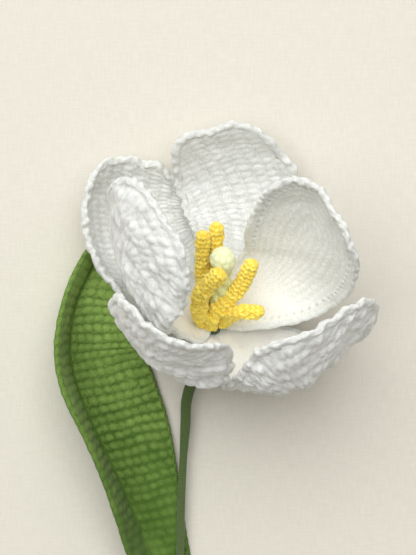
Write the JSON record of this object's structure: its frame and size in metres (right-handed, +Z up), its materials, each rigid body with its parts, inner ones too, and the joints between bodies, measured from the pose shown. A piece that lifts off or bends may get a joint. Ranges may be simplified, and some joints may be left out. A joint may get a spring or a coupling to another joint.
{
  "type": "crocheted tulip flower",
  "caption": "Crocheted cut tulip lying on its side: cupped white yarn petals wired along their rims round yellow stamens, and a folded green leaf tied to a yarn-wrapped wire stem.",
  "frame": {"origin": "middle of the bounding box in plan, on the surface that the flower lies on", "axes": "+Y along the stem towards the flower head, +Z up from the surface, +X to the right seen from above"},
  "size_m": [0.1054, 0.3184, 0.0763],
  "materials": {
    "petal_yarn": "matt white milk-cotton yarn in tight single crochet",
    "stamen_yarn": "matt golden yellow yarn, crocheted cord",
    "pistil_yarn": "matt pale yellow-green yarn",
    "leaf_yarn": "matt leaf-green yarn in rows of single crochet",
    "stem_yarn": "matt dark green yarn wound closely",
    "steel_wire": "bright drawn wire"
  },
  "bodies": {
    "root": {"petal_right": "petal_yarn", "edge_wire_right": "steel_wire", "petal_left": "petal_yarn", "edge_wire_left": "steel_wire", "petal_rear": "petal_yarn", "edge_wire_rear": "steel_wire", "petal_front_left": "petal_yarn", "edge_wire_front_left": "steel_wire", "petal_rear_left": "petal_yarn", "edge_wire_rear_left": "steel_wire", "petal_front_right": "petal_yarn", "edge_wire_front_right": "steel_wire", "stamen_rear_left": "stamen_yarn", "stamen_rear": "stamen_yarn", "stamen_front_left": "stamen_yarn", "stamen_right": "stamen_yarn", "stamen_front_right": "stamen_yarn", "pistil": "pistil_yarn", "stem_wrap": "stem_yarn", "stem_core_wire": "steel_wire", "leaf": "leaf_yarn", "leaf_wire": "steel_wire", "leaf_tie": "stem_yarn"}
  },
  "joints": []
}
